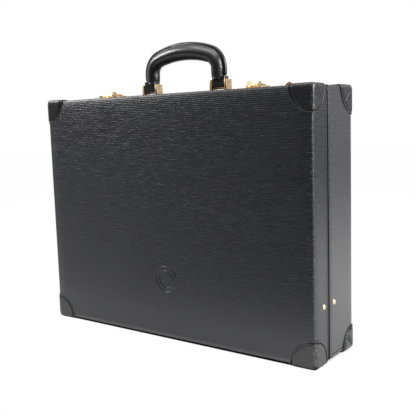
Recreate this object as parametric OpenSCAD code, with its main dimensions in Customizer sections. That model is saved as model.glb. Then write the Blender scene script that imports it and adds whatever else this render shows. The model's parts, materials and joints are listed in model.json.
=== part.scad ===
// Hard-sided leather attache case: two wooden shells covered in leather, a piano hinge
// along the bottom, folding stays inside, a padded handle and two brass hasp locks.
// Millimetres. +Z is up with the case standing on its hinge side, +X runs along its width,
// and the lid faces -Y. The origin is at the middle of the footprint.

/* [Case] */
// Width of the case over its leather
case_w = 432; // [400:1:460]
// Height of the case over its leather, without patches, handle and locks
case_h = 321; // [290:1:345]
// Depth of the lid, from its front face to the split
lid_d = 36; // [34:0.5:45]
// Depth of the base, from the split to its rear face
base_d = 63.5; // [56:0.5:80]
// Gap between the rims of the closed shells
rim_gap = 0.4; // [0.3:0.1:1]
// Radius of the four long outer edges
edge_r = 6; // [4:0.5:10]

/* [Walls] */
// Thickness of the outer leather
leather_t = 1.2; // [0.8:0.1:1.6]
// Thickness of the frame boards
board_t = 7; // [6:0.5:9]
// Thickness of the large panels
panel_t = 3; // [2.5:0.5:5]
// Thickness of the lining
lining_t = 0.8; // [0.6:0.1:1.2]
// Thickness of the leather strip on each rim
binding_t = 1.2; // [1:0.1:1.5]

/* [Corner patches] */
// Reach of a corner patch from its corner
patch_r = 34; // [28:0.5:35]
// Thickness of a corner patch
patch_t = 1.8; // [1.8:0.1:2.4]

/* [Piano hinge] */
// Length of the hinge
hinge_l = 356; // [300:2:358]
// Number of knuckles
knuckles = 24; // [12:2:30]
// Outer radius of a knuckle
knuckle_r = 1.5; // [1.3:0.1:1.6]
// Radius of the hinge pin
hinge_pin_r = 0.7; // [0.5:0.05:0.8]

/* [Handle] */
// Height of the handle above the case
handle_h = 67.5; // [62:0.5:72]
// Half of the handle's width, to the edge of its welt
handle_hw = 68; // [64:0.5:72]
// Radius of the welt's edge at the handle's shoulders
shoulder_r = 32; // [28:0.5:34]
// Height of the shoulders' centres above the case
shoulder_z = 30.5; // [28:0.5:32]
// Radius of the padded grip
grip_r = 9.5; // [8.5:0.1:10]
// Distance from the grip's centre line to the welt's edge
welt_reach = 13.5; // [13:0.1:15]
// Thickness of the welt
welt_t = 3; // [2:0.1:4]
// Height of the pivot pins above the case
pivot_h = 12; // [11.5:0.1:13]
// Position of the handle, in front of (-) or behind (+) the middle of the case
handle_y = 2.5; // [-4:0.5:12]

/* [Locks] */
// Distance of each lock from the middle of the case
lock_x = 120.5; // [95:0.5:150]
// Width of the hasp and of the lock housing
lock_w = 16; // [14:0.5:20]
// Width of the plate on the lid
lock_plate_w = 42; // [38:0.5:50]
// Height of the closed hasp above the case
hasp_h = 9.2; // [8.5:0.1:11]
// Travel of the release button
button_travel = 3; // [2:0.5:3]

/* [Lid stays] */
// Distance of each stay rivet from the split
stay_dy = 13; // [11:0.5:15]
// Height of the stay rivets
stay_z = 70; // [60:1:90]
// Thickness of a stay link
stay_t = 1.2; // [1:0.1:1.4]

/* [Hidden] */
$fn = 48;
eps = 0.01;

// Shell positions
half_w = case_w / 2;
low_z = patch_t;
top_z = low_z + case_h;
front_y = -(lid_d + base_d) / 2;
rear_y = -front_y;
split_y = front_y + lid_d;
lid_rim_y = split_y - rim_gap / 2;
base_rim_y = split_y + rim_gap / 2;
wall_t = leather_t + board_t;
hollow_hw = half_w - wall_t - lining_t;
patch_setback = 2.8;
emblem_z = low_z + 81;
emblem_radii = [17, 11.5];
emblem_line = 0.9;
emblem_depth = 0.35;

// Handle
pin_r = 1.6;
pin_fit = 0.05;
bracket_x = handle_hw - 10.1;
bracket_hw = 13.3;
ear_t = 3.2;
ear_d = 12;
ear_h = 16;
bracket_plate_t = 1.5;
tab_hw = bracket_hw - ear_t - 0.3;
tab_r = 5;
tab_drop = 3;
grip_gap = 7.8;
core_r = 4;
leg_x = handle_hw - welt_reach;
leg_z = pivot_h + grip_gap;
rise = handle_h - shoulder_z;
shoulder_x = handle_hw - shoulder_r;
crown_r = (pow(shoulder_x, 2) + pow(rise, 2) - pow(shoulder_r, 2)) / (2 * (rise - shoulder_r));
crown_a = asin(shoulder_x / (crown_r - shoulder_r));
rivet_r = 1.3;
rivet_dx = 6;

// Locks, in a frame at the top of the split: -Y is the lid's side
plate_t = 1.6;
plate_d = 12.8;
screw_dx = 18;
screw_y = -6.5;
screw_r = 1.2;
hasp_axis = [-7.5, 3.4];
hasp_pin_r = 0.9;
hasp_wall = 1.2;
nose_r = 1.6;
ear_in = 4.5;
ear_out = 6.5;
housing_y = 2;
housing_d = 19.5;
housing_h = 4.6;
button_hw = 4.5;
slot_hw = 3.3;
button_y = 10;
button_d = 7.5;
button_h = 7;
spring_y = 17;
spring_r = 1;
spring_wire = 0.3;
spring_turns = 4;
// Document pocket in the lid
pocket_hw = 170;
pocket_z = [25, 215];
pocket_t = 1.5;
pocket_d = 9;

// Strap lugs
lug_x = 158;

// Stays: hinge, base rivet, elbow and lid rivet are the corners of a rhombus
stay_rise = stay_z - low_z;
stay_len = sqrt(pow(stay_dy, 2) + pow(stay_rise, 2));
stay_lean = atan2(stay_dy, stay_rise);
stay_hw = 4.5;
stay_eye_r = 5;
stay_pin_r = 1.5;
stay_fit = 0.08;
elbow_fit = 0.3;
stay_gap = 0.3;
base_stay_x = hollow_hw - 0.4 - stay_t;
lid_stay_x = base_stay_x - stay_gap - stay_t;
elbow_z = low_z + 2 * stay_rise;

// ---- helpers ----

module rounded_rect(w, h, r) {
    translate([-w / 2 + r, 0]) square([w - 2 * r, h]);
    translate([-w / 2, r]) square([w, h - 2 * r]);
    for (x = [-w / 2 + r, w / 2 - r], z = [r, h - r]) translate([x, z]) circle(r);
}

// Slab of the case outline, moved out (+) or in (-) by grow, from y0 to y1
module case_slab(grow, y0, y1) {
    translate([0, y1, low_z - grow]) rotate([90, 0, 0]) linear_extrude(y1 - y0)
        rounded_rect(case_w + 2 * grow, case_h + 2 * grow, edge_r + grow);
}

// Box between two corners
module span(lo, hi) {
    translate(lo) cube(hi - lo);
}

module rod_x(r, x0, x1) {
    translate([x0, 0, 0]) rotate([0, 90, 0]) cylinder(r = r, h = x1 - x0);
}

// Low dome standing on z = 0
module dome(r, h) {
    ball = (r * r + h * h) / (2 * h);
    intersection() {
        translate([0, 0, h - ball]) sphere(ball, $fn = 64);
        cylinder(r = r + 1, h = h + 1);
    }
}

module at_lock(side) {
    translate([side * lock_x, split_y, top_z]) children();
}

module on_side(side) {
    mirror([side < 0 ? 1 : 0, 0, 0]) children();
}

// ---- holes shared by the layers of a wall ----

module stay_hole(y, side) {
    translate([0, y, stay_z]) on_side(side) rod_x(stay_pin_r, hollow_hw - 2, half_w + 2);
}

module stay_holes(y) {
    for (side = [-1, 1]) stay_hole(y, side);
}

module bracket_holes() {
    for (side = [-1, 1], dx = [-rivet_dx, rivet_dx])
        translate([side * bracket_x + dx, handle_y, top_z - 20]) cylinder(r = rivet_r, h = 30);
}

module lock_screw_holes() {
    for (side = [-1, 1], dx = [-screw_dx, screw_dx])
        at_lock(side) translate([dx, screw_y, -6]) cylinder(r = screw_r, h = 12);
}

module hinge_rebate() {
    translate([0, split_y, low_z]) rod_x(knuckle_r + 0.3, -hinge_l / 2 - 1, hinge_l / 2 + 1);
}

// ---- shells ----

base_y0 = base_rim_y + binding_t;
base_y1 = rear_y - leather_t - panel_t;
lid_y0 = front_y + leather_t + panel_t;
lid_y1 = lid_rim_y - binding_t;

module long_board(y0, y1, upper) {
    z0 = upper ? top_z - wall_t : low_z + leather_t;
    color("burlywood") intersection() {
        case_slab(-leather_t, y0, y1);
        span([-half_w, y0, z0], [half_w, y1, z0 + board_t]);
    }
}

module side_board(y0, y1, side) {
    color("burlywood") difference() {
        on_side(side) span([half_w - wall_t, y0, low_z + wall_t],
                           [half_w - leather_t, y1, top_z - wall_t]);
        stay_hole(y0 < split_y ? split_y - stay_dy : split_y + stay_dy, side);
    }
}

module base_top_board() {
    difference() {
        long_board(base_y0, base_y1, true);
        bracket_holes();
    }
}

module base_bottom_board() {
    difference() {
        long_board(base_y0, base_y1, false);
        hinge_rebate();
    }
}

module base_left_board() { side_board(base_y0, base_y1, -1); }

module base_right_board() { side_board(base_y0, base_y1, 1); }

module base_rear_panel() {
    color("burlywood") case_slab(-leather_t, base_y1, rear_y - leather_t);
}

module base_leather() {
    color("#26272a") difference() {
        case_slab(0, base_y0, rear_y);
        case_slab(-leather_t, base_y0 - 1, rear_y - leather_t);
        stay_holes(split_y + stay_dy);
        bracket_holes();
        hinge_rebate();
    }
}

module lining_tray(y0, y1, floor_y) {
    outer_hw = hollow_hw + lining_t;
    z0 = low_z + wall_t;
    z1 = top_z - wall_t;
    inner_y = floor_y == y1 ? [y0 - 1, y1 - lining_t] : [y0 + lining_t, y1 + 1];
    difference() {
        span([-outer_hw, y0, z0], [outer_hw, y1, z1]);
        span([-hollow_hw, inner_y[0], z0 + lining_t], [hollow_hw, inner_y[1], z1 - lining_t]);
    }
}

module base_lining() {
    color("tan") difference() {
        lining_tray(base_y0, base_y1, base_y1);
        stay_holes(split_y + stay_dy);
        bracket_holes();
    }
}

module rim_binding(y0, y1) {
    color("#1d1e20") difference() {
        case_slab(0, y0, y1);
        span([-hollow_hw, y0 - 1, low_z + wall_t + lining_t],
             [hollow_hw, y1 + 1, top_z - wall_t - lining_t]);
        span([-hinge_l / 2 - 0.2, y0 - 1, low_z - 1],
             [hinge_l / 2 + 0.2, y1 + 1, low_z + wall_t + lining_t + 1]);
    }
}

module base_rim_binding() { rim_binding(base_rim_y, base_y0); }

module lid_top_board() {
    difference() {
        long_board(lid_y0, lid_y1, true);
        lock_screw_holes();
    }
}

module lid_bottom_board() {
    difference() {
        long_board(lid_y0, lid_y1, false);
        hinge_rebate();
    }
}

module lid_left_board() { side_board(lid_y0, lid_y1, -1); }

module lid_right_board() { side_board(lid_y0, lid_y1, 1); }

module lid_front_panel() {
    color("burlywood") case_slab(-leather_t, front_y + leather_t, lid_y0);
}

// Blind-stamped plain rings on the front
module emblem_grooves() {
    translate([0, front_y + emblem_depth, emblem_z]) rotate([90, 0, 0])
        for (r = emblem_radii) difference() {
            cylinder(r = r + emblem_line / 2, h = 2);
            translate([0, 0, -1]) cylinder(r = r - emblem_line / 2, h = 4);
        }
}

module lid_leather() {
    color("#26272a") difference() {
        case_slab(0, front_y, lid_y1);
        case_slab(-leather_t, front_y + leather_t, lid_y1 + 1);
        stay_holes(split_y - stay_dy);
        lock_screw_holes();
        hinge_rebate();
        emblem_grooves();
    }
}

module lid_lining() {
    color("tan") difference() {
        lining_tray(lid_y0, lid_y1, lid_y0);
        stay_holes(split_y - stay_dy);
    }
}

module lid_rim_binding() { rim_binding(lid_y1, lid_rim_y); }

// Flat document pocket in the lid, open at the top
module document_pocket() {
    back_y = lid_y0 + lining_t;
    color("#2b2420") difference() {
        span([-pocket_hw, back_y, pocket_z[0]], [pocket_hw, back_y + pocket_d, pocket_z[1]]);
        span([-pocket_hw + pocket_t, back_y - 1, pocket_z[0] + pocket_t],
             [pocket_hw - pocket_t, back_y + pocket_d - pocket_t, pocket_z[1] + 1]);
    }
}

// ---- corner patches ----

module left_corner_patch(front, upper) {
    y_corner = front ? front_y : rear_y;
    y0 = front ? front_y - patch_t : base_rim_y;
    y1 = front ? lid_rim_y : rear_y + patch_t;
    difference() {
        intersection() {
            case_slab(patch_t, y0, y1);
            translate([-half_w, y_corner, upper ? top_z : low_z]) sphere(patch_r, $fn = 96);
        }
        case_slab(0, front ? front_y : y0 - 1, front ? y1 + 1 : rear_y);
        span([-case_w, split_y - patch_setback, -1], [case_w, split_y + patch_setback, low_z]);
    }
}

module corner_patch(side, front, upper) {
    color("#151617") mirror([side > 0 ? 1 : 0, 0, 0]) left_corner_patch(front, upper);
}

module lid_patch_top_left() { corner_patch(-1, true, true); }

module lid_patch_top_right() { corner_patch(1, true, true); }

module lid_patch_bottom_left() { corner_patch(-1, true, false); }

module lid_patch_bottom_right() { corner_patch(1, true, false); }

module base_patch_top_left() { corner_patch(-1, false, true); }

module base_patch_top_right() { corner_patch(1, false, true); }

module base_patch_bottom_left() { corner_patch(-1, false, false); }

module base_patch_bottom_right() { corner_patch(1, false, false); }

// ---- piano hinge ----

module hinge_leaf(side) {
    pitch = hinge_l / knuckles;
    leaf_y = side > 0 ? rim_gap / 2 : -rim_gap / 2 - binding_t;
    first = side > 0 ? 0 : 1;
    color("gold") translate([0, split_y, low_z]) difference() {
        union() {
            span([-hinge_l / 2, leaf_y, knuckle_r + 0.4],
                 [hinge_l / 2, leaf_y + binding_t, wall_t]);
            for (i = [first:2:knuckles - 1]) {
                x0 = -hinge_l / 2 + i * pitch + 0.2;
                rod_x(knuckle_r, x0, x0 + pitch - 0.4);
                span([x0, leaf_y, 0], [x0 + pitch - 0.4, leaf_y + binding_t, wall_t]);
            }
        }
        rod_x(hinge_pin_r + pin_fit, -hinge_l / 2 - 1, hinge_l / 2 + 1);
    }
}

module hinge_base_leaf() { hinge_leaf(1); }

module hinge_lid_leaf() { hinge_leaf(-1); }

module hinge_pin() {
    color("silver") translate([0, split_y, low_z]) rod_x(hinge_pin_r, -hinge_l / 2, hinge_l / 2);
}

// ---- handle ----

// Stations along the handle: centre of the arc, radius to the welt's edge, angle of the normal
arc_steps = 9;
handle_arc = concat(
    [[shoulder_x, leg_z, shoulder_r, 0]],
    [for (i = [0:arc_steps]) [shoulder_x, shoulder_z, shoulder_r, (90 - crown_a) * i / arc_steps]],
    [for (i = [1:arc_steps - 1])
        [0, handle_h - crown_r, crown_r, 90 - crown_a + 2 * crown_a * i / arc_steps]],
    [for (i = [arc_steps:-1:0])
        [-shoulder_x, shoulder_z, shoulder_r, 180 - (90 - crown_a) * i / arc_steps]],
    [[-shoulder_x, leg_z, shoulder_r, 180]]
);

// Point of a station, inset from the welt's edge
function rail(s, inset) = [s[0] + (s[2] - inset) * cos(s[3]), s[1] + (s[2] - inset) * sin(s[3])];

// Closed tube through rings of points
module skin_rings(points, rings, sides) {
    walls = [for (i = [0:rings - 2], k = [0:sides - 1]) let (n = (k + 1) % sides)
        [i * sides + k, (i + 1) * sides + k, (i + 1) * sides + n, i * sides + n]];
    ends = [[for (k = [0:sides - 1]) k], [for (k = [sides - 1:-1:0]) (rings - 1) * sides + k]];
    polyhedron(points, concat(walls, ends));
}

module handle_tube(r, sides) {
    points = [for (s = handle_arc, k = [0:sides - 1])
        let (b = 360 * k / sides, p = rail(s, welt_reach - r * cos(b))) [p[0], r * sin(b), p[1]]];
    skin_rings(points, len(handle_arc), sides);
}

module handle_welt() {
    edge = [for (s = handle_arc) rail(s, 0)];
    root = [for (i = [len(handle_arc) - 1:-1:0]) rail(handle_arc[i], welt_reach - grip_r + 1)];
    translate([0, welt_t / 2, 0]) rotate([90, 0, 0]) linear_extrude(welt_t)
        polygon(concat(edge, root));
}

module handle_grip() {
    color("#1a1b1d") translate([0, handle_y, top_z]) difference() {
        union() {
            handle_tube(grip_r, 28);
            handle_welt();
        }
        handle_tube(core_r, 14);
    }
}

module handle_core() {
    color("sienna") translate([0, handle_y, top_z]) handle_tube(core_r, 14);
}

module handle_tab(side) {
    color("#101112") translate([side * bracket_x, handle_y, top_z + pivot_h]) difference() {
        union() {
            translate([0, 0, -tab_drop]) rod_x(tab_r, -tab_hw, tab_hw);
            span([-tab_hw, -tab_r, -tab_drop], [tab_hw, tab_r, grip_gap]);
        }
        rod_x(pin_r + pin_fit, -tab_hw - 1, tab_hw + 1);
    }
}

module handle_tab_left() { handle_tab(-1); }

module handle_tab_right() { handle_tab(1); }

module handle_bracket(side) {
    color("gold") translate([side * bracket_x, handle_y, top_z]) difference() {
        union() {
            span([-bracket_hw, -ear_d / 2, 0], [bracket_hw, ear_d / 2, bracket_plate_t]);
            for (x = [-bracket_hw, bracket_hw - ear_t])
                span([x, -ear_d / 2, 0], [x + ear_t, ear_d / 2, ear_h]);
        }
        translate([0, 0, pivot_h]) rod_x(pin_r, -bracket_hw - 1, bracket_hw + 1);
        for (dx = [-rivet_dx, rivet_dx])
            translate([dx, 0, -1]) cylinder(r = rivet_r, h = bracket_plate_t + 2);
    }
}

module handle_bracket_left() { handle_bracket(-1); }

module handle_bracket_right() { handle_bracket(1); }

module handle_pins() {
    color("silver") for (side = [-1, 1])
        translate([side * bracket_x, handle_y, top_z + pivot_h])
            rod_x(pin_r, -bracket_hw - 0.2, bracket_hw + 0.2);
}

module bracket_rivets() {
    inner_z = -wall_t - lining_t;
    color("gold") for (side = [-1, 1], dx = [-rivet_dx, rivet_dx])
        translate([side * bracket_x + dx, handle_y, top_z]) {
            translate([0, 0, inner_z - 0.8])
                cylinder(r = rivet_r, h = bracket_plate_t - inner_z + 0.8);
            translate([0, 0, bracket_plate_t]) dome(2.4, 0.8);
            translate([0, 0, inner_z - 0.8]) cylinder(r = 3, h = 0.8);
        }
}

// ---- locks ----

module lock_plate(side) {
    color("gold") at_lock(side) difference() {
        union() {
            span([-lock_plate_w / 2, -plate_d - 0.2, 0], [lock_plate_w / 2, -0.2, plate_t]);
            for (s = [-1, 1]) on_side(s) {
                translate([0, hasp_axis[0], hasp_axis[1]]) rod_x(nose_r - 0.1, ear_in, ear_out);
                span([ear_in, hasp_axis[0] - 1.2, plate_t - eps],
                     [ear_out, hasp_axis[0] + 1.2, hasp_axis[1]]);
            }
        }
        translate([0, hasp_axis[0], hasp_axis[1]]) rod_x(hasp_pin_r, -8, 8);
        for (dx = [-screw_dx, screw_dx])
            translate([dx, screw_y, -1]) cylinder(r = screw_r, h = plate_t + 2);
    }
}

module lock_plate_left() { lock_plate(-1); }

module lock_plate_right() { lock_plate(1); }

// Side view of the hasp, with its sloping front and flat top, moved in by inset
module hasp_side(inset, hw) {
    foot = plate_t + 0.3 - (inset > 0 ? 1 : 0);
    slope = inset * 1.2;
    rotate([90, 0, 90]) translate([0, 0, -hw]) linear_extrude(2 * hw) polygon([
        [hasp_axis[0] + slope, foot],
        [hasp_axis[0] - 1.4 + slope, hasp_axis[1] - 0.4],
        [-5.2 + slope, hasp_h - inset],
        [0.9 - inset, hasp_h - inset],
        [1.4 - inset, foot]
    ]);
}

module hasp(side) {
    color("khaki") at_lock(side) difference() {
        union() {
            difference() {
                hasp_side(0, lock_w / 2);
                hasp_side(hasp_wall, lock_w / 2 - hasp_wall);
            }
            translate([0, hasp_axis[0], hasp_axis[1]]) rod_x(nose_r, -lock_w / 2, lock_w / 2);
        }
        translate([0, hasp_axis[0], hasp_axis[1]])
            rod_x(hasp_pin_r + pin_fit, -lock_w / 2 - 1, lock_w / 2 + 1);
        for (s = [-1, 1]) on_side(s)
            span([ear_in - 0.3, hasp_axis[0] - 1.9, plate_t], [ear_out + 0.3, -5.4, 5.3]);
    }
}

module hasp_left() { hasp(-1); }

module hasp_right() { hasp(1); }

module hasp_pins() {
    color("silver") for (side = [-1, 1]) at_lock(side)
        translate([0, hasp_axis[0], hasp_axis[1]]) rod_x(hasp_pin_r, -lock_w / 2, lock_w / 2);
}

// Bent leaf springs that lift the hasps when they are released
module hasp_springs() {
    leaf = 0.3;
    color("silver") for (side = [-1, 1]) at_lock(side)
        rotate([90, 0, 90]) translate([0, 0, -3]) linear_extrude(6) polygon([
            [-5, plate_t], [-2.5, plate_t], [-1.2, 7.2], [-1.5, 7.2],
            [-2.8, plate_t + leaf], [-5, plate_t + leaf]
        ]);
}

module lock_screws() {
    color("gold") for (side = [-1, 1], dx = [-screw_dx, screw_dx])
        at_lock(side) translate([dx, screw_y, -6]) {
            cylinder(r = screw_r, h = 6 + plate_t);
            translate([0, 0, 6 + plate_t]) difference() {
                dome(2.6, 1.1);
                span([-3, -0.3, 0.6], [3, 0.3, 2]);
            }
        }
}

module lock_housing(side) {
    wall = 1.2;
    hw = lock_w / 2;
    color("gold") at_lock(side) difference() {
        span([-hw, housing_y, 0], [hw, housing_y + housing_d, housing_h]);
        span([-hw + wall, housing_y + wall, -1],
             [hw - wall, housing_y + housing_d - wall, housing_h - wall]);
        span([-slot_hw, button_y + 1.2, 1],
             [slot_hw, button_y + button_d - 1.2 + button_travel, housing_h + 1]);
    }
}

module lock_housing_left() { lock_housing(-1); }

module lock_housing_right() { lock_housing(1); }

module lock_button(side) {
    groove = 0.5;
    color("khaki") at_lock(side) translate([0, button_y, 0]) difference() {
        union() {
            span([-button_hw, -5, 0.3], [button_hw, button_d - 1.5, housing_h - 1.5]);
            span([-slot_hw + 0.3, 1.5, 0.3], [slot_hw - 0.3, button_d - 1.5, housing_h + 1]);
            span([-button_hw, 0, housing_h + 0.3], [button_hw, button_d, button_h]);
        }
        for (i = [1:3])
            span([-button_hw - 1, i * 1.9 - groove / 2, button_h - groove],
                 [button_hw + 1, i * 1.9 + groove / 2, button_h + 1]);
    }
}

module lock_button_left() { lock_button(-1); }

module lock_button_right() { lock_button(1); }

// Coil of round wire along +Z, from z = 0 to len, as one closed tube
module coil(r, wire_r, turns, len) {
    sides = 6;
    steps = turns * 12;
    climb = len - 2 * wire_r;
    points = [for (i = [0:steps]) let (a = 360 * turns * i / steps, z = wire_r + climb * i / steps)
        for (k = [0:sides - 1]) let (b = 360 * k / sides)
            [(r + wire_r * cos(b)) * cos(a), (r + wire_r * cos(b)) * sin(a), z + wire_r * sin(b)]];
    skin_rings(points, steps + 1, sides);
}

module button_springs() {
    rest_y = button_y + button_d - 1.5;
    color("silver") for (side = [-1, 1]) at_lock(side)
        translate([0, rest_y + 0.05, spring_r + 0.6]) rotate([-90, 0, 0])
            coil(spring_r, spring_wire / 2, spring_turns,
                 housing_y + housing_d - 1.3 - rest_y);
}

// Small brass lugs near the ends of the top, for a strap
module strap_lugs() {
    color("gold") for (side = [-1, 1])
        translate([side * lug_x, handle_y, top_z]) {
            span([-7, -4.5, 0], [7, 4.5, 1.2]);
            difference() {
                union() {
                    span([-4.5, -1.5, 1.2 - eps], [4.5, 1.5, 2.5]);
                    translate([0, -1.5, 2.5]) rotate([-90, 0, 0]) difference() {
                        cylinder(r = 4.5, h = 3);
                        span([-6, 0, -1], [6, 6, 4]);
                    }
                }
                translate([0, -3, 3.6]) rotate([-90, 0, 0]) cylinder(r = 1.6, h = 6);
            }
        }
}

// ---- lid stays ----

module stay_link(side, y, x, lean, far_hole) {
    color("gold") translate([0, y, stay_z]) on_side(side) rotate([lean, 0, 0]) difference() {
        union() {
            rod_x(stay_eye_r, x, x + stay_t);
            translate([0, 0, stay_len]) rod_x(stay_eye_r, x, x + stay_t);
            span([x, -stay_hw, 0], [x + stay_t, stay_hw, stay_len]);
        }
        rod_x(stay_pin_r + stay_fit, x - 1, x + stay_t + 1);
        translate([0, 0, stay_len]) rod_x(stay_pin_r + far_hole, x - 1, x + stay_t + 1);
    }
}

module base_stay(side) {
    stay_link(side, split_y + stay_dy, base_stay_x, stay_lean, 0);
}

module lid_stay(side) {
    stay_link(side, split_y - stay_dy, lid_stay_x, -stay_lean, elbow_fit);
}

module base_stay_left() { base_stay(-1); }

module base_stay_right() { base_stay(1); }

module lid_stay_left() { lid_stay(-1); }

module lid_stay_right() { lid_stay(1); }

// Rivets through the side walls, with a dome outside and a flat head inside
module stay_rivets(y, link_x, collar_x) {
    color("gold") for (side = [-1, 1]) translate([0, y, stay_z]) on_side(side) {
        rod_x(stay_pin_r, link_x - stay_gap, half_w);
        rod_x(2.8, link_x - stay_gap - 0.8, link_x - stay_gap);
        rod_x(2.8, collar_x, hollow_hw);
        translate([half_w, 0, 0]) rotate([0, 90, 0]) dome(3.8, 1.6);
    }
}

module base_stay_rivets() {
    stay_rivets(split_y + stay_dy, base_stay_x, base_stay_x + stay_t + 0.1);
}

module lid_stay_rivets() {
    stay_rivets(split_y - stay_dy, lid_stay_x, lid_stay_x + stay_t + 0.1);
}

module elbow_pin(side) {
    color("silver") translate([0, split_y, elbow_z]) on_side(side) {
        rod_x(stay_pin_r, lid_stay_x - stay_gap, base_stay_x + stay_t);
        rod_x(2.6, lid_stay_x - stay_gap - 0.6, lid_stay_x - stay_gap);
    }
}

module elbow_pin_left() { elbow_pin(-1); }

module elbow_pin_right() { elbow_pin(1); }

// ---- the assembly ----

base_top_board();
base_bottom_board();
base_left_board();
base_right_board();
base_rear_panel();
base_leather();
base_lining();
base_rim_binding();
lid_top_board();
lid_bottom_board();
lid_left_board();
lid_right_board();
lid_front_panel();
lid_leather();
lid_lining();
lid_rim_binding();
document_pocket();
lid_patch_top_left();
lid_patch_top_right();
lid_patch_bottom_left();
lid_patch_bottom_right();
base_patch_top_left();
base_patch_top_right();
base_patch_bottom_left();
base_patch_bottom_right();
hinge_base_leaf();
hinge_lid_leaf();
hinge_pin();
handle_grip();
handle_core();
handle_tab_left();
handle_tab_right();
handle_bracket_left();
handle_bracket_right();
handle_pins();
bracket_rivets();
lock_plate_left();
lock_plate_right();
hasp_left();
hasp_right();
hasp_pins();
hasp_springs();
lock_screws();
lock_housing_left();
lock_housing_right();
lock_button_left();
lock_button_right();
button_springs();
strap_lugs();
base_stay_rivets();
lid_stay_rivets();
base_stay_left();
base_stay_right();
lid_stay_left();
lid_stay_right();
elbow_pin_left();
elbow_pin_right();
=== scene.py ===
"""Leather attache case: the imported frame's shells, handle and locks with their finished looks."""
import json
import math

import bmesh
import bpy
from mathutils import Matrix, Vector, noise
from mathutils.kdtree import KDTree

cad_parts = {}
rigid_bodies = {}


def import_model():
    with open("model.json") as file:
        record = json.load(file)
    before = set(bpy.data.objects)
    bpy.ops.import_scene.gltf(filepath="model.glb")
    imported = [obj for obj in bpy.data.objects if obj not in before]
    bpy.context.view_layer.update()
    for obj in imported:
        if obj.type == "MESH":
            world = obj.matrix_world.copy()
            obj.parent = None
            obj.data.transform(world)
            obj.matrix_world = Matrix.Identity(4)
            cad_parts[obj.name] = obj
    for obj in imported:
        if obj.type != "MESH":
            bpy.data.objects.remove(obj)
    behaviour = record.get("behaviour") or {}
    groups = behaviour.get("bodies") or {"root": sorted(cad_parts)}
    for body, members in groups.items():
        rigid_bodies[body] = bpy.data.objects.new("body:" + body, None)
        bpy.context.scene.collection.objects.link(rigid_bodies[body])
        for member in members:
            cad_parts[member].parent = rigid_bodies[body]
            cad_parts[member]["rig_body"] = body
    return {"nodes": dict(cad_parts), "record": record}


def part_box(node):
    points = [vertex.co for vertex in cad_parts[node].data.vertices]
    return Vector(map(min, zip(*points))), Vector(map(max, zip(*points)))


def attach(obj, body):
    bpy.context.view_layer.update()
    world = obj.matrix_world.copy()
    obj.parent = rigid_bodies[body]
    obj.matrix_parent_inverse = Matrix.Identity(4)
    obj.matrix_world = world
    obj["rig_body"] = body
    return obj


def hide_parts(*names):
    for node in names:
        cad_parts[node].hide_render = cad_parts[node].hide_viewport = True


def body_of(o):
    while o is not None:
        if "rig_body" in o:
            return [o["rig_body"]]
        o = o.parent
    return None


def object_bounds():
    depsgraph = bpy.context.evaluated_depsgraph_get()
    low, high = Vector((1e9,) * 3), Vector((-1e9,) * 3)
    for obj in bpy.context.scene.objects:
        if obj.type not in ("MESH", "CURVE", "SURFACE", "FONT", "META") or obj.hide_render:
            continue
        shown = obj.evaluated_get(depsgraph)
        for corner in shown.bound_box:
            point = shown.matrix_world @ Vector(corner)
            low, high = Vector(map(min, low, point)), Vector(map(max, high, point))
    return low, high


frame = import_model()
cad_lo, cad_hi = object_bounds()

MM = 0.001

# ---- places taken from the frame ----

lid_lo, lid_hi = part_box("lid_leather")
FRONT, REAR = lid_lo.y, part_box("base_leather")[1].y
LOW, TOP, HALF_W = lid_lo.z, lid_hi.z, lid_hi.x
LID_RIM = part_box("lid_rim_binding")[1].y
BASE_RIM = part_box("base_rim_binding")[0].y
HINGE_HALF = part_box("hinge_pin")[1].x
GROUND = cad_lo.z

EDGE_R = 2.6 * MM          # rounding of the leather along every outer edge
LEATHER_T = 1.1 * MM
LID_BACK, BASE_BACK = 4.6 * MM, 2.6 * MM     # the skins stop this far short of the rims
EMBLEM_Z = LOW + 81 * MM
EMBLEM_RINGS = (17 * MM, 11.5 * MM)


# ---- meshes ----

def make_mesh(name, verts, faces, weld=0.0, sharp=40.0):
    mesh = bpy.data.meshes.new(name)
    mesh.from_pydata([tuple(v) for v in verts], [], faces)
    bm = bmesh.new()
    bm.from_mesh(mesh)
    if weld:
        bmesh.ops.remove_doubles(bm, verts=bm.verts, dist=weld)
        bmesh.ops.dissolve_degenerate(bm, edges=bm.edges, dist=weld)
    bmesh.ops.recalc_face_normals(bm, faces=bm.faces)
    for edge in bm.edges:
        if len(edge.link_faces) == 2:
            edge.smooth = edge.calc_face_angle(0) < math.radians(sharp)
    for face in bm.faces:
        face.smooth = True
    bm.to_mesh(mesh)
    bm.free()
    obj = bpy.data.objects.new(name, mesh)
    bpy.context.scene.collection.objects.link(obj)
    return obj


def place(obj, body, slot, replaced):
    """The piece takes its slot's material, rides on its body and stands for CAD nodes."""
    obj.data.materials.clear()
    obj.data.materials.append(MATERIALS[slot])
    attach(obj, body)
    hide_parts(*replaced)


def solidify(obj, thickness):
    mod = obj.modifiers.new("thickness", "SOLIDIFY")
    mod.thickness = thickness
    mod.offset = -1
    mod.use_even_offset = False
    mod.use_rim = True


def smoothstep(a, b, x):
    t = min(max((x - a) / (b - a), 0), 1)
    return t * t * (3 - 2 * t)


def steps(start, end, size):
    """Even steps from start to end, each as near to the size as fits."""
    n = max(1, round(abs(end - start) / size))
    return [start + (end - start) * i / n for i in range(n + 1)]


def merged(values):
    """The values in order, leaving out any too close to the one before."""
    out = []
    for v in sorted(values):
        if not out or v - out[-1] > 0.05 * MM:
            out.append(v)
    return out


def grid_faces(columns, rows, start=0):
    """Quads of a grid whose points are numbered row after row."""
    return [(a, a + 1, a + columns + 1, a + columns)
            for a in (start + j * columns + i for j in range(rows - 1) for i in range(columns - 1))]


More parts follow.
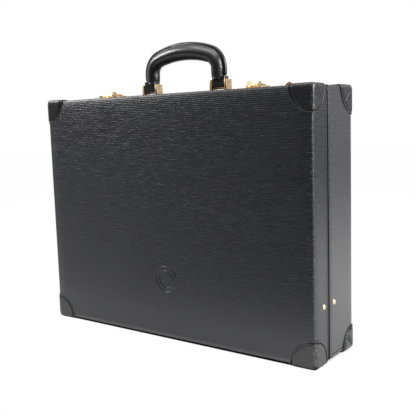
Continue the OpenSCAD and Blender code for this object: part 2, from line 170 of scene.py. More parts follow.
def tube_sides(rings, n, start=0):
    """Quads between closed rings of n points, numbered ring after ring."""
    return [(p + k, p + (k + 1) % n, p + n + (k + 1) % n, p + n + k)
            for p in (start + i * n for i in range(rings - 1)) for k in range(n)]


def tube_faces(rings, n, start=0):
    """A tube's sides and its two flat ends."""
    last = start + (rings - 1) * n
    return tube_sides(rings, n, start) + [tuple(start + k for k in reversed(range(n))),
                                          tuple(last + k for k in range(n))]


# ---- shaders ----

class Shader:
    """A node material built up around one Principled shader."""

    def __init__(self, name):
        self.mat = bpy.data.materials.new(name)
        self.mat.use_nodes = True
        self.tree = self.mat.node_tree
        self.tree.nodes.clear()
        out = self.add("ShaderNodeOutputMaterial")
        self.bsdf = self.add("ShaderNodeBsdfPrincipled")
        self.link(self.bsdf.outputs[0], out.inputs[0])

    def add(self, kind, **settings):
        node = self.tree.nodes.new(kind)
        for key, value in settings.items():
            setattr(node, key, value)
        return node

    def link(self, a, b):
        self.tree.links.new(a, b)

    def put(self, socket, value):
        if hasattr(value, "is_output"):
            self.link(value, socket)
        else:
            socket.default_value = value

    def coords(self, scale=(1, 1, 1)):
        m = self.add("ShaderNodeMapping")
        m.inputs["Scale"].default_value = scale
        self.link(self.add("ShaderNodeTexCoord").outputs["Object"], m.inputs["Vector"])
        return m.outputs[0]

    def noise(self, vector, detail, rough, distortion=0.0):
        """Noise at a vector, or at the object's own coordinates times a scale for each axis."""
        n = self.add("ShaderNodeTexNoise")
        self.link(self.coords(vector) if isinstance(vector, tuple) else vector, n.inputs["Vector"])
        n.inputs["Scale"].default_value = 1.0
        n.inputs["Detail"].default_value = detail
        n.inputs["Roughness"].default_value = rough
        n.inputs["Distortion"].default_value = distortion
        return n.outputs["Fac"]

    def cells(self, scale):
        n = self.add("ShaderNodeTexVoronoi")
        self.link(self.coords(), n.inputs["Vector"])
        n.inputs["Scale"].default_value = scale
        return n.outputs["Distance"]

    def math(self, op, a, b=0.0, c=0.0, clamp=False):
        n = self.add("ShaderNodeMath", operation=op, use_clamp=clamp)
        for socket, value in zip(n.inputs, (a, b, c)):
            self.put(socket, value)
        return n.outputs[0]

    def range(self, value, a, b, c, d):
        n = self.add("ShaderNodeMapRange")
        for socket, v in zip(n.inputs, (value, a, b, c, d)):
            self.put(socket, v)
        return n.outputs[0]

    def mix(self, factor, a, b):
        n = self.add("ShaderNodeMix", data_type="RGBA")
        self.put(n.inputs["Factor"], factor)
        for socket, v in ((n.inputs[6], a), (n.inputs[7], b)):
            self.put(socket, (*v, 1) if isinstance(v, tuple) and len(v) == 3 else v)
        return n.outputs[2]

    def attribute(self, name):
        return self.add("ShaderNodeAttribute", attribute_name=name).outputs["Fac"]

    def bump(self, height, distance, strength):
        n = self.add("ShaderNodeBump")
        n.inputs["Strength"].default_value = strength
        n.inputs["Distance"].default_value = distance
        self.link(height, n.inputs["Height"])
        return n.outputs[0]

    def set(self, **values):
        for name, value in values.items():
            self.put(self.bsdf.inputs[name.replace("_", " ")], value)
        return self.mat


GRAIN_PITCH, GRAIN_RUN = 2.3 * MM, 12 * MM      # of the case leather's ridges, and their length
PATCH_RUN = 9 * MM
SWAY, RIDGE_SHARE = 0.25, 0.2                   # how far the ridges wander, and their share


def streak_grain(sh, run):
    """Fine pressed ridges, level round the walls and along X on the top, broken into streaks.

    Gives the grain, how far the surface faces sideways, and the height above the ground.
    """
    facing = sh.add("ShaderNodeSeparateXYZ")
    sh.link(sh.add("ShaderNodeTexCoord").outputs["Normal"], facing.inputs[0])
    flat = sh.math("GREATER_THAN", sh.math("ABSOLUTE", facing.outputs[2]), 0.72)
    spot = sh.add("ShaderNodeSeparateXYZ")
    sh.link(sh.add("ShaderNodeTexCoord").outputs["Object"], spot.inputs[0])
    level = sh.add("ShaderNodeMix", data_type="FLOAT")
    for socket, value in zip((level.inputs[0], level.inputs[2], level.inputs[3]),
                             (flat, spot.outputs[2], spot.outputs[1])):
        sh.link(value, socket)
    sway = sh.noise((28, 28, 60), 1.0, 0.5)
    phase = sh.math("ADD", level.outputs[0], sh.math("MULTIPLY", sway, SWAY * GRAIN_PITCH))
    ridge = sh.math("SINE", sh.math("MULTIPLY", phase, math.tau / GRAIN_PITCH))
    along, across = 1 / run, 1.3 / GRAIN_PITCH
    pick = sh.add("ShaderNodeMix", data_type="VECTOR")
    sh.link(flat, pick.inputs["Factor"])
    sh.link(sh.coords((along, along, across)), pick.inputs[4])
    sh.link(sh.coords((along, across, along)), pick.inputs[5])
    streak = sh.noise(pick.outputs[1], 2.0, 0.5)
    grain = sh.math("MULTIPLY_ADD", ridge, RIDGE_SHARE, streak)
    return grain, sh.math("ABSOLUTE", facing.outputs[0]), spot.outputs[2]


def case_leather():
    sh = Shader("case leather")
    streaks, side, up = streak_grain(sh, GRAIN_RUN)
    pores = sh.noise((900, 900, 900), 1.0, 0.5)
    mottle = sh.noise((9, 9, 14), 3.0, 0.6, 0.4)
    edge = sh.attribute("edge")
    # Painted light: the grain's tone contrast, and its bump with it, is made weaker towards the
    # bottom, standing in for the light that catches it less there.
    painted_grain_fade = sh.range(up, 0.04, 0.17, 0.38, 0.0)
    crisp = sh.range(streaks, 0.36, 0.64, painted_grain_fade, sh.math("SUBTRACT", 1.0, painted_grain_fade))
    scuffs = sh.range(sh.noise((260, 260, 420), 4.0, 0.65), 0.53, 0.68, 0.0, 1.0)
    wear = sh.math("MULTIPLY", scuffs, sh.math("POWER", edge, 1.5))
    tone = sh.mix(crisp, (0.0072, 0.0075, 0.0092), (0.0240, 0.0248, 0.0292))
    tone = sh.mix(sh.range(mottle, 0.3, 0.7, 0.0, 0.3), tone, (0.024, 0.0245, 0.027))
    tone = sh.mix(sh.math("MULTIPLY", wear, 0.55), tone, (0.16, 0.155, 0.15))
    # Painted highlight: a lighter band along the lower rim; the base's side walls are made paler with
    # it too.
    tone = sh.mix(sh.math("MULTIPLY", sh.attribute("rim"), 0.7), tone, (0.075, 0.074, 0.075))
    # Painted shade: near black and less glossy under the foot and in the base's side folds; the lid's
    # side walls are also made a little darker.
    painted_shade = sh.attribute("painted_shade")
    tone = sh.mix(painted_shade, tone, (0.004, 0.004, 0.004))
    rough = sh.math("ADD", sh.range(crisp, 0, 1, 0.36, 0.28), sh.math("MULTIPLY", wear, 0.2))
    relief = sh.math("MULTIPLY", crisp, sh.range(side, 0.3, 0.9, 1.0, 0.3))
    height = sh.math("ADD", relief, sh.math("MULTIPLY", pores, 0.22))
    return sh.set(Base_Color=tone, Roughness=rough, Normal=sh.bump(height, 0.135 * MM, 1.0),
                  Specular_IOR_Level=sh.math("MULTIPLY_ADD", painted_shade, -0.5, 0.5, clamp=True))


def patch_leather():
    sh = Shader("patch leather")
    streaks = streak_grain(sh, PATCH_RUN)[0]
    pebble = sh.cells(1300.0)
    edge = sh.attribute("edge")
    scuffs = sh.range(sh.noise((310, 310, 310), 5.0, 0.7), 0.5, 0.66, 0.0, 1.0)
    wear = sh.math("MULTIPLY", scuffs, edge)
    tone = sh.mix(sh.range(streaks, 0.3, 0.7, 0, 1), (0.010, 0.0103, 0.0115),
                  (0.024, 0.0243, 0.0265))
    tone = sh.mix(sh.math("MULTIPLY", wear, 0.45), tone, (0.19, 0.185, 0.18))
    # Painted shade: near black, rougher and less glossy in grooves and folds, where edges meet the
    # shells, near the ground and in the rim bindings' groove.
    painted_shade = sh.attribute("painted_shade")
    tone = sh.mix(painted_shade, tone, (0.006, 0.006, 0.006))
    rough = sh.math("ADD", sh.range(streaks, 0.3, 0.7, 0.32, 0.26), sh.math("MULTIPLY", wear, 0.2))
    rough = sh.math("MAXIMUM", rough, sh.math("MULTIPLY", painted_shade, 0.8))
    height = sh.math("ADD", sh.math("MULTIPLY", streaks, 0.7), sh.math("MULTIPLY", pebble, 0.4))
    return sh.set(Base_Color=tone, Roughness=rough, Normal=sh.bump(height, 0.14 * MM, 0.6),
                  Specular_IOR_Level=sh.math("MULTIPLY_ADD", painted_shade, -0.5, 0.5, clamp=True))


def handle_leather():
    sh = Shader("handle leather")
    fine = sh.cells(1500.0)
    soft = sh.noise((140, 140, 140), 3.0, 0.6)
    edge = sh.attribute("edge")
    tone = sh.mix(sh.range(soft, 0.35, 0.65, 0, 1), (0.0085, 0.0088, 0.0098),
                  (0.015, 0.0155, 0.0175))
    worn = sh.math("MULTIPLY", edge, sh.range(soft, 0.4, 0.62, 0.15, 1.0))
    tone = sh.mix(sh.math("MULTIPLY", worn, 0.5), tone, (0.10, 0.10, 0.105))
    rough = sh.range(soft, 0.3, 0.7, 0.33, 0.27)
    height = sh.math("ADD", sh.math("MULTIPLY", soft, 1.0), sh.math("MULTIPLY", fine, 0.15))
    return sh.set(Base_Color=tone, Roughness=rough, Normal=sh.bump(height, 0.01 * MM, 0.5),
                  Coat_Weight=0.5, Coat_Roughness=0.22)


def pocket_leather():
    sh = Shader("pocket leather")
    pebble = sh.cells(900.0)
    soft = sh.noise((60, 60, 60), 3.0, 0.6)
    tone = sh.mix(sh.range(soft, 0.3, 0.7, 0, 1), (0.020, 0.0185, 0.018), (0.034, 0.031, 0.030))
    height = sh.math("ADD", sh.math("MULTIPLY", pebble, 0.9), sh.math("MULTIPLY", soft, 0.5))
    return sh.set(Base_Color=tone, Roughness=sh.range(pebble, 0, 1, 0.55, 0.42),
                  Normal=sh.bump(height, 0.12 * MM, 0.7))


def suede():
    sh = Shader("suede lining")
    nap = sh.noise((1500, 1500, 1500), 3.0, 0.7)
    brush = sh.noise((30, 30, 18), 3.0, 0.6, 1.0)
    tone = sh.mix(sh.range(brush, 0.35, 0.65, 0, 1), (0.075, 0.066, 0.060), (0.115, 0.103, 0.094))
    tone = sh.mix(sh.range(nap, 0.3, 0.7, 0, 0.4), tone, (0.16, 0.145, 0.13))
    return sh.set(Base_Color=tone, Roughness=0.95, Normal=sh.bump(nap, 0.1 * MM, 0.5),
                  Sheen_Weight=0.35, Sheen_Roughness=0.45, Specular_IOR_Level=0.2)


def brass():
    sh = Shader("brass")
    brushed = sh.noise((260, 1400, 1400), 2.0, 0.6)
    tarnish = sh.noise((240, 240, 240), 4.0, 0.65)
    marks = sh.range(sh.noise((90, 700, 300), 5.0, 0.75), 0.56, 0.62, 0.0, 1.0)
    tone = sh.mix(sh.range(tarnish, 0.42, 0.7, 0, 0.4), (0.84, 0.62, 0.36), (0.62, 0.42, 0.21))
    rough = sh.math("ADD", sh.range(tarnish, 0.3, 0.7, 0.2, 0.3), sh.math("MULTIPLY", marks, 0.06))
    height = sh.math("ADD", sh.math("MULTIPLY", brushed, 0.5), sh.math("MULTIPLY", marks, -0.4))
    return sh.set(Base_Color=tone, Metallic=1.0, Roughness=rough,
                  Normal=sh.bump(height, 0.004 * MM, 0.6))


def steel():
    sh = Shader("steel")
    turned = sh.noise((1600, 300, 300), 2.0, 0.6)
    spots = sh.noise((300, 300, 300), 4.0, 0.6)
    tone = sh.mix(sh.range(spots, 0.4, 0.7, 0, 1), (0.62, 0.61, 0.59), (0.42, 0.40, 0.37))
    return sh.set(Base_Color=tone, Metallic=1.0, Roughness=sh.range(spots, 0.3, 0.7, 0.22, 0.4),
                  Normal=sh.bump(turned, 0.02 * MM, 0.6))


def poplar():
    sh = Shader("poplar board")
    rings = sh.noise((14, 120, 160), 4.0, 0.6, 0.6)
    pores = sh.noise((90, 1500, 1500), 2.0, 0.5)
    tone = sh.mix(sh.range(rings, 0.3, 0.7, 0, 1), (0.50, 0.36, 0.21), (0.66, 0.51, 0.33))
    return sh.set(Base_Color=tone, Roughness=0.62, Normal=sh.bump(pores, 0.06 * MM, 0.5))


def cord_core():
    sh = Shader("cord core")
    twist = sh.noise((700, 700, 500), 3.0, 0.6, 1.5)
    tone = sh.mix(twist, (0.30, 0.22, 0.13), (0.48, 0.38, 0.25))
    return sh.set(Base_Color=tone, Roughness=0.8, Normal=sh.bump(twist, 0.2 * MM, 0.6))


def thread_shade():
    sh = Shader("waxed thread")
    twist = sh.noise((2200, 2200, 2200), 2.0, 0.5)
    tone = sh.mix(twist, (0.008, 0.008, 0.009), (0.022, 0.022, 0.023))
    return sh.set(Base_Color=tone, Roughness=0.5, Normal=sh.bump(twist, 0.08 * MM, 0.6))


MATERIALS = {
    "board": poplar(), "case_leather": case_leather(), "patch_leather": patch_leather(),
    "handle_leather": handle_leather(), "pocket_leather": pocket_leather(), "core": cord_core(),
    "lining": suede(), "brass": brass(), "steel": steel(),
}
THREAD = thread_shade()
for part in frame["record"]["subparts"]:
    node = frame["nodes"][part["node"]]
    node.data.materials.clear()
    node.data.materials.append(MATERIALS[part["material_slot"]])


def mark(obj, name, amount):
    """Writes a value for each point: "edge" is how worn it is, "rim" how much highlight is painted
    on, and the shade mark how much shade is painted on.
    """
    layer = obj.data.attributes.new(name, "FLOAT", "POINT")
    layer.data.foreach_set("value", [amount(v.co) for v in obj.data.vertices])


# ---- stitches ----

def stitch_run(path, pitch):
    """Middle, direction and outward of each stitch along a polyline of (point, surface normal)."""
    out, travelled, due = [], 0.0, pitch * 0.5
    for (a, na), (b, nb) in zip(path, path[1:]):
        seg = (b - a).length
        while seg > 0 and due <= travelled + seg:
            t = (due - travelled) / seg
            out.append((a.lerp(b, t), (b - a).normalized(), na.lerp(nb, t).normalized()))
            due += pitch
        travelled += seg
    return out


def thread_piece(name, runs, body, length=2.3 * MM, radius=0.26 * MM):
    """Short rounded thread segments, each sunk a third of its thickness into the leather."""
    verts, faces = [], []
    shape = ((-0.5, 0.25), (-0.42, 0.8), (-0.2, 1.0), (0.2, 1.0), (0.42, 0.8), (0.5, 0.25))
    sides = 8
    for run in runs:
        for mid, along, up in run:
            across = along.cross(up).normalized()
            rise = across.cross(along).normalized()
            start = len(verts)
            for t, r in shape:
                centre = mid + along * (t * length) - rise * (radius * (0.35 + 1.2 * t * t))
                for k in range(sides):
                    a = math.tau * k / sides
                    verts.append(centre + (across * math.cos(a) + rise * math.sin(a)) * radius * r)
            faces += tube_faces(len(shape), sides, start)
    obj = make_mesh(name, verts, faces, sharp=80)
    obj.data.materials.append(THREAD)
    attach(obj, body)


# ---- shells: leather skins, rim bindings ----

LONG_STEP = 16 * MM                          # of the grid over the big faces
WALL_STEP = 4 * MM
FOOT_LINES = (1.7, 2.1, 3.0, 3.6, 4.4, 5.4, 6.4, 8, 11)     # mm up, where the painted shade and the painted rim highlight change
TOP_LINES = (3.4, 4.4, 5.6, 7, 9, 11.5, 15, 20, 27)         # mm down, where the face turns away


def edge_lines(lo, hi, extra):
    """Grid lines from lo to hi, close together over the rounded edges."""
    turn = [EDGE_R * (1 - math.sin(math.radians(a))) for a in (90, 75, 60, 45, 30, 15, 0)]
    ends = [lo + d for d in turn] + [hi - d for d in turn]
    return merged(ends + steps(lo + EDGE_R, hi - EDGE_R, LONG_STEP) + extra)


def shell_skin(name, face_y, rim_y, extra_x, extra_z, face_relief, wall_relief, sag=0.0):
    """Leather over one shell: its big face, rounded edges, and the four walls up to the rim.

    The reliefs say how far the face and the walls stand out, and sag how far the foot drops.
    """
    inward = 1 if rim_y > face_y else -1
    xs = edge_lines(-HALF_W, HALF_W, extra_x)
    zs = edge_lines(LOW, TOP, extra_z + [LOW + d * MM for d in FOOT_LINES]
                    + [TOP - d * MM for d in TOP_LINES])

    def spot(x, z):
        """Where a grid point lands, its outward direction and how far round the edge it is."""
        qx = min(max(x, -HALF_W + EDGE_R), HALF_W - EDGE_R)
        qz = min(max(z, LOW + EDGE_R), TOP - EDGE_R)
        d = Vector((x - qx, z - qz))
        m = max(abs(d.x), abs(d.y))
        d = d.normalized() if m > 0 else Vector((0, 0))
        return qx + d.x * m, qz + d.y * m, d, m

    verts = []
    for z in zs:
        for x in xs:
            px, pz, d, m = spot(x, z)
            drop = EDGE_R - math.sqrt(max(EDGE_R ** 2 - m ** 2, 0))
            low = pz + min(d.y, 0) * sag * smoothstep(0, EDGE_R, m)
            verts.append((px, face_y + inward * (drop - face_relief(px, pz)), low))
    nx, nz = len(xs), len(zs)
    faces = grid_faces(nx, nz)
    ring = ([(i, 0) for i in range(nx)] + [(nx - 1, j) for j in range(1, nz)]
            + [(i, nz - 1) for i in range(nx - 2, -1, -1)] + [(0, j) for j in range(nz - 2, 0, -1)])
    rows = [[j * nx + i for i, j in ring]]
    for y in steps(face_y + inward * EDGE_R, rim_y, WALL_STEP)[1:]:
        row = []
        for i, j in ring:
            px, pz, d, _ = spot(xs[i], zs[j])
            out = wall_relief(px, y, pz)
            row.append(len(verts))
            verts.append((px + d.x * out, y, pz + d.y * out))
        rows.append(row)
    count = len(ring)
    for a, b in zip(rows, rows[1:]):
        for k in range(count):
            n = (k + 1) % count
            faces.append((a[k], a[n], b[n], b[k]))
    obj = make_mesh(name, verts, faces)
    solidify(obj, LEATHER_T)
    return obj


SAG = 1.6 * MM                               # of the lid's underside along its front
CREASE_Z = LOW + 5.2 * MM                    # the fold along the foot of the base's sides
CREASE_DEPTH = 0.5 * MM
WALL_SWELL, LID_SWELL, BASE_SWELL = 0.4 * MM, 0.3 * MM, 0.4 * MM
EMBLEM_DEPTH, EMBLEM_LINE = 0.65 * MM, 0.62 * MM          # of the pressed rings


def crown(x, z, most):
    """The panel's soft shoulder inside its edges and its slight swell, outward."""
    u, v = x / HALF_W, (2 * z - LOW - TOP) / (TOP - LOW)
    side_drop = 0.8 * MM * math.exp(-(HALF_W - abs(x)) / (2.5 * MM))
    foot_drop = 1.3 * MM * math.exp(-(z - LOW) / (3.0 * MM))
    top_drop = 2.2 * MM * math.exp(-(TOP - z) / (6.5 * MM))
    swell = most * max(0, 1 - u * u) * max(0, 1 - v * v)
    return max(1.0 * MM - side_drop - foot_drop - top_drop, -0.6 * MM) + swell


def lid_face(x, z):
    r = math.hypot(x, z - EMBLEM_Z)
    deep = sum(math.exp(-((r - ring) / EMBLEM_LINE) ** 4) for ring in EMBLEM_RINGS)
    return crown(x, z, LID_SWELL) - EMBLEM_DEPTH * deep


def base_face(x, z):
    return crown(x, z, BASE_SWELL)


def wall_swell(x, z):
    """Walls swell very slightly between the corners."""
    u, v = x / HALF_W, (2 * z - LOW - TOP) / (TOP - LOW)
    mid = (1 - v * v) if abs(u) > 0.97 else (1 - u * u)
    return WALL_SWELL * min(1, 1.6 * max(0, mid))


def lid_wall(x, y, z):
    """The front of the lid's underside sags almost to the ground."""
    swell = wall_swell(x, z)
    if z > LOW + 0.2 * MM:
        return swell
    return swell + (SAG - swell) * (1 - smoothstep(FRONT + 12 * MM, FRONT + 20 * MM, y))


def base_wall(x, y, z):
    """A fold pressed along the foot of each side wall."""
    side = abs(x) > HALF_W - 0.6 * MM
    fold = math.exp(-((z - CREASE_Z) / (0.5 * MM)) ** 2) if side else 0
    return wall_swell(x, z) - CREASE_DEPTH * fold


def rub(face_y):
    """How exposed a point of a shell is: 1 on a rounded edge, 0 on the flat."""
    def amount(co):
        close = 0.0
        for axis, ends in ((0, (-HALF_W, HALF_W)), (2, (LOW, TOP)), (1, (face_y,))):
            near = min(abs(co[axis] - e) for e in ends)
            close += 1 - smoothstep(0.5 * MM, 5.5 * MM, near)
        return min(max(close - 1, 0), 1)
    return amount


def foot(co):
    """Painted shade under the rounded edge the case stands over."""
    return 1 - smoothstep(1.7 * MM, 2.5 * MM, co.z - LOW)


def painted_rim_highlight(co):
    """A painted highlight along the rim just above the foot."""
    up = co.z - LOW
    return smoothstep(2.4 * MM, 3.2 * MM, up) * (1 - smoothstep(4.6 * MM, 7.4 * MM, up))


def on_side(co):
    """1 on the side walls, 0 elsewhere."""
    return smoothstep(HALF_W - 1.5 * MM, HALF_W, abs(co.x))


def base_painted_shade(co):
    """Painted shade under the foot and in the fold along the foot of each side."""
    return max(foot(co), 0.85 * on_side(co) * math.exp(-((co.z - CREASE_Z) / (0.8 * MM)) ** 2))


emblem_x = steps(-20 * MM, 20 * MM, 0.42 * MM) + [-25 * MM, -22 * MM, 22 * MM, 25 * MM]
emblem_z = [EMBLEM_Z + v for v in emblem_x]
lid_skin = shell_skin("lid_skin", FRONT, LID_RIM - LID_BACK, emblem_x, emblem_z,
                      lid_face, lid_wall, SAG)
mark(lid_skin, "edge", rub(FRONT))
# Painted shade under the foot; the side walls are also made a little darker.
mark(lid_skin, "painted_shade", lambda co: max(foot(co), 0.13 * on_side(co)))
# A painted highlight along the lower rim.
mark(lid_skin, "rim", painted_rim_highlight)
crease_lines = [CREASE_Z + d * MM for d in (-1.0, -0.6, -0.3, 0, 0.3, 0.6, 1.0)]
base_skin = shell_skin("base_skin", REAR, BASE_RIM + BASE_BACK, [], crease_lines,
                       base_face, base_wall)
mark(base_skin, "edge", rub(REAR))
# Painted shade under the foot and in the fold along each side's foot.
mark(base_skin, "painted_shade", base_painted_shade)
# A painted highlight along the lower rim; the side walls are also made paler.
mark(base_skin, "rim", lambda co: max(painted_rim_highlight(co), 0.42 * on_side(co)))
place(lid_skin, "lid", "case_leather", ("lid_leather",))
place(base_skin, "base", "case_leather", ("base_leather",))


def rim_path():
    """Round the rim from one end of the hinge to the other: (centre line point, outward)."""
    gap = HINGE_HALF + 0.2 * MM
    x0, z0, z1 = HALF_W - EDGE_R, LOW + EDGE_R, TOP - EDGE_R

    def turn(x, z, start):
        """A quarter turn about a corner's centre."""
        return [((x, z), (math.cos(a), math.sin(a)))
                for a in steps(start, start + math.pi / 2, math.pi / 12)]

    path = [((x, z0), (0, -1)) for x in steps(gap, x0, 9 * MM)] + turn(x0, z0, -math.pi / 2)
    path += [((x0, z), (1, 0)) for z in steps(z0, z1, 12 * MM)] + turn(x0, z1, 0)
    path += [((x, z1), (0, 1)) for x in steps(x0, -x0, 12 * MM)] + turn(-x0, z1, math.pi / 2)
    path += [((-x0, z), (-1, 0)) for z in steps(z1, z0, 12 * MM)] + turn(-x0, z0, math.pi)
    return path + [((x, z0), (0, -1)) for x in steps(-x0, -gap, 9 * MM)]


def beyond_box(co):
    """How far a point lies outside the shells' plain box, negative inside it."""
    return max(abs(co.x) - HALF_W, LOW - co.z, co.z - TOP)


def rim_strip(name, rim_y, into, section):
    """A leather binding swept round the rim; section is (outward, into the shell) in mm."""
    path = rim_path()
    verts = []
    for (cx, cz), (dx, dz) in path:
        for out, depth in section:
            reach = EDGE_R + out * MM
            if reach > 0:
                x, z = cx + dx * reach, cz + dz * reach
            else:   # inside the corner's centre the strip is mitred
                x = cx + (reach if dx > 0.01 else -reach if dx < -0.01 else 0)
                z = cz + (reach if dz > 0.01 else -reach if dz < -0.01 else 0)
            x += 0 if abs(dx) < 0.99 else dx * wall_swell(x, z)
            z += 0 if abs(dz) < 0.99 else dz * wall_swell(x, z)
            verts.append((x, rim_y + into * depth * MM, z))
    obj = make_mesh(name, verts, tube_faces(len(path), len(section)), weld=0.02 * MM, sharp=50)
    # Half worn along the bead outside the shells' box; its lighter scuffs also stand in for the
    # bead's highlight, a painted highlight.
    mark(obj, "edge", lambda co: (0.5 * (beyond_box(co) > 0.1 * MM)
                                  * (1 - smoothstep(1.6 * MM, 2.4 * MM, abs(co.y - rim_y)))))
    # Painted shade along the binding inside the shells' box, where it lies in the groove between the
    # shells, fading out 6 to 8 mm in.
    mark(obj, "painted_shade", lambda co: (smoothstep(0.1 * MM, -0.7 * MM, beyond_box(co))
                                  * smoothstep(-8.0 * MM, -6.0 * MM, beyond_box(co))))
    return obj


# the sections run from their inner end out along the rim, round the outside and back inside
bead = [(-0.3 + 0.8 * math.cos(math.radians(a)), 3.9 - 0.8 * math.sin(math.radians(a)))
        for a in range(90, -61, -15)]
lid_section = ([(-8.9, 1.2), (-9.0, 0.7), (-8.8, 0.2), (-8.3, 0.0), (-5.2, 0.0), (-4.4, 0.12),
                (-3.4, 0.5), (-1.3, 0.75), (-1.0, 1.1), (-0.95, 1.8), (-0.9, 2.4), (-0.7, 2.9)]
               + bead
               + [(0.12, 4.8), (0.12, 5.5), (0.08, 6.0), (0.0, 6.3), (-0.5, 6.4), (-0.95, 5.0),
                  (-1.05, 3.4), (-1.15, 1.8), (-3.6, 1.4)])
base_section = [(-8.9, 1.2), (-9.0, 0.7), (-8.8, 0.2), (-8.3, 0.0), (-4.4, 0.0), (-2.6, 0.05),
                (-1.4, 0.2), (-0.7, 0.45), (-0.25, 0.85), (0.0, 1.3), (0.1, 1.8), (0.12, 2.4),
                (0.12, 3.4), (0.08, 3.9), (0.0, 4.2), (-0.5, 4.3), (-0.95, 3.0), (-1.1, 2.0),
                (-1.2, 1.6), (-3.6, 1.3)]
lid_binding = rim_strip("lid_binding", LID_RIM, -1, lid_section)
base_binding = rim_strip("base_binding", BASE_RIM, 1, base_section)
place(lid_binding, "lid", "patch_leather", ("lid_rim_binding",))
place(base_binding, "base", "patch_leather", ("base_rim_binding",))


# ---- corner patches ----

PATCH_T = 1.8 * MM
OUTER_R = EDGE_R + PATCH_T
SUNK = 0.3 * MM                              # how far the patches' undersides lie in the shells
STITCH_PITCH = 3.0 * MM
RIM_PROFILE = (         # mm in from the leaf's edge and mm high: a rolled edge, a groove, then flat
    (0.0, -0.3), (0.0, 0.5), (0.12, 1.0), (0.4, 1.42), (0.85, 1.68), (1.4, 1.68), (1.8, 1.35),
    (2.1, 0.85), (2.6, 0.62), (3.1, 0.85), (3.5, 1.4), (3.9, 1.62), (5.0, 1.74), (7.5, 1.8),
    (11, 1.8), (15, 1.8), (19, 1.8), (23, 1.8), (27, 1.8))
# degrees round the leaf's arc, close together at its middle where the pleats are
LEAF_ANGLES = [0, 1.5, 3.5, 6, 9, 12, 16, 21, 26, 31, 35, 38, 40, 41.5, 42.6, 43.5, 44.3, 45]
GROOVE = 2.6 * MM


def wrap(p, height):
    """A point on the sharp outer box, given from the corner, moved onto the rounded patch."""
    q = Vector([max(c, OUTER_R) for c in p])
    n = p - q
    return q + n.normalized() * (OUTER_R - PATCH_T + height)


def patch_faces(reach):
    """The patch's three faces: two directions from the corner, and the arc's reach along each."""
    ax, ay, az = (Vector(v) for v in ((1, 0, 0), (0, 1, 0), (0, 0, 1)))
    return ((ax, az, *reach["big"]), (ay, az, *reach["side"]), (ax, ay, *reach["end"]))


def arc_reach(ru, rv, phi, power):
    """The arc's distance from the corner; a power of 2 is an ellipse, more is squarer."""
    return ((math.cos(phi) / ru) ** power + (max(math.sin(phi), 0) / rv) ** power) ** (-1 / power)


def arc_point(u, v, ru, rv, phi, power, inset):
    return (u * math.cos(phi) + v * math.sin(phi)) * (arc_reach(ru, rv, phi, power) - inset)


def pleats(p, phi, inset, amount):
    """A fold from the corner with a groove on each side: how high it is at a point, and how much
    shade is painted in its grooves.
    """
    s = p.length * math.sin(phi - math.radians(45))
    beside = abs(s) - 2.0 * MM
    fade = amount * smoothstep(3 * MM, 6 * MM, inset) * smoothstep(5 * MM, 12 * MM, p.length)
    height = (0.65 * MM * math.exp(-(s / (1.0 * MM)) ** 2)
              - 0.55 * MM * math.exp(-(beside / (0.6 * MM)) ** 2))
    return fade * height, 0.8 * fade * math.exp(-(beside / (0.7 * MM)) ** 2)


def corner_patch(name, body, node, reach, pleat, power):
    """Three rounded leaves of thick leather drawn over a corner, with a rolled, grooved edge."""
    lo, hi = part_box(node)
    sx = 1 if hi.x > 0 else -1
    sy = 1 if hi.y > 0 else -1
    sz = 1 if hi.z > TOP / 2 else -1
    corner = Vector((hi.x if sx > 0 else lo.x, hi.y if sy > 0 else lo.y, hi.z if sz > 0 else lo.z))

    def world(p):
        return corner - Vector((sx * p.x, sy * p.y, sz * p.z))

    angles = [math.radians(a) for a in LEAF_ANGLES + [90 - a for a in reversed(LEAF_ANGLES[:-1])]]
    verts, faces, runs, painted_shade_marks = [], [], [], []
    for face, (u, v, ru, rv) in enumerate(patch_faces(reach)):
        for under in (False, True):
            start = len(verts)
            for phi in angles:
                whole = arc_reach(ru, rv, phi, power)
                for inset, height in RIM_PROFILE:
                    inset, h = inset * MM, height * MM
                    p = arc_point(u, v, ru, rv, phi, power, min(inset, whole))
                    # Painted shade: dark in the groove inside the rolled edge, fully dark where the
                    # edge meets the shell, and in the pleats' grooves below.
                    dark = math.exp(-((inset - GROOVE) / (0.95 * MM)) ** 2) if h > 0.6 * MM else 1.0
                    if not under and face == 1 and pleat:
                        raised, shade = pleats(p, phi, inset, pleat)
                        h += raised
                        dark += shade
                    painted_shade_marks.append(min(dark, 1))
                    verts.append(world(wrap(p, -SUNK if under else h)))
                painted_shade_marks.append(0)
                verts.append(world(wrap(Vector((0, 0, 0)), -SUNK if under else PATCH_T)))
            faces += grid_faces(len(RIM_PROFILE) + 1, len(angles), start)
        path = []
        for phi in steps(math.radians(3), math.radians(87), math.radians(3)):
            p = arc_point(u, v, ru, rv, phi, power, GROOVE)
            a, b = world(wrap(p, 0.8 * MM)), world(wrap(p, PATCH_T))
            path.append((a, (b - a).normalized()))
        runs.append(stitch_run(path, STITCH_PITCH))
    obj = make_mesh(name, verts, faces, weld=0.03 * MM, sharp=60)

    def rubbed(co):
        on_edge = sum(1 - smoothstep(0.8 * MM, 6.5 * MM, abs(c)) for c in corner - co)
        return min(max(on_edge - 1, 0) * 1.2, 1)

    mark(obj, "edge", rubbed)
    near = KDTree(len(verts))
    for i, v in enumerate(verts):
        near.insert(v, i)
    near.balance()
    # Painted shade from those marks, and a painted contact shadow within 2 to 3.5 mm of the ground.
    mark(obj, "painted_shade", lambda co: max(painted_shade_marks[near.find(co)[1]],
                                     1 - smoothstep(2.2 * MM, 3.4 * MM, co.z - GROUND)))
    place(obj, body, "patch_leather", (node,))
    return runs


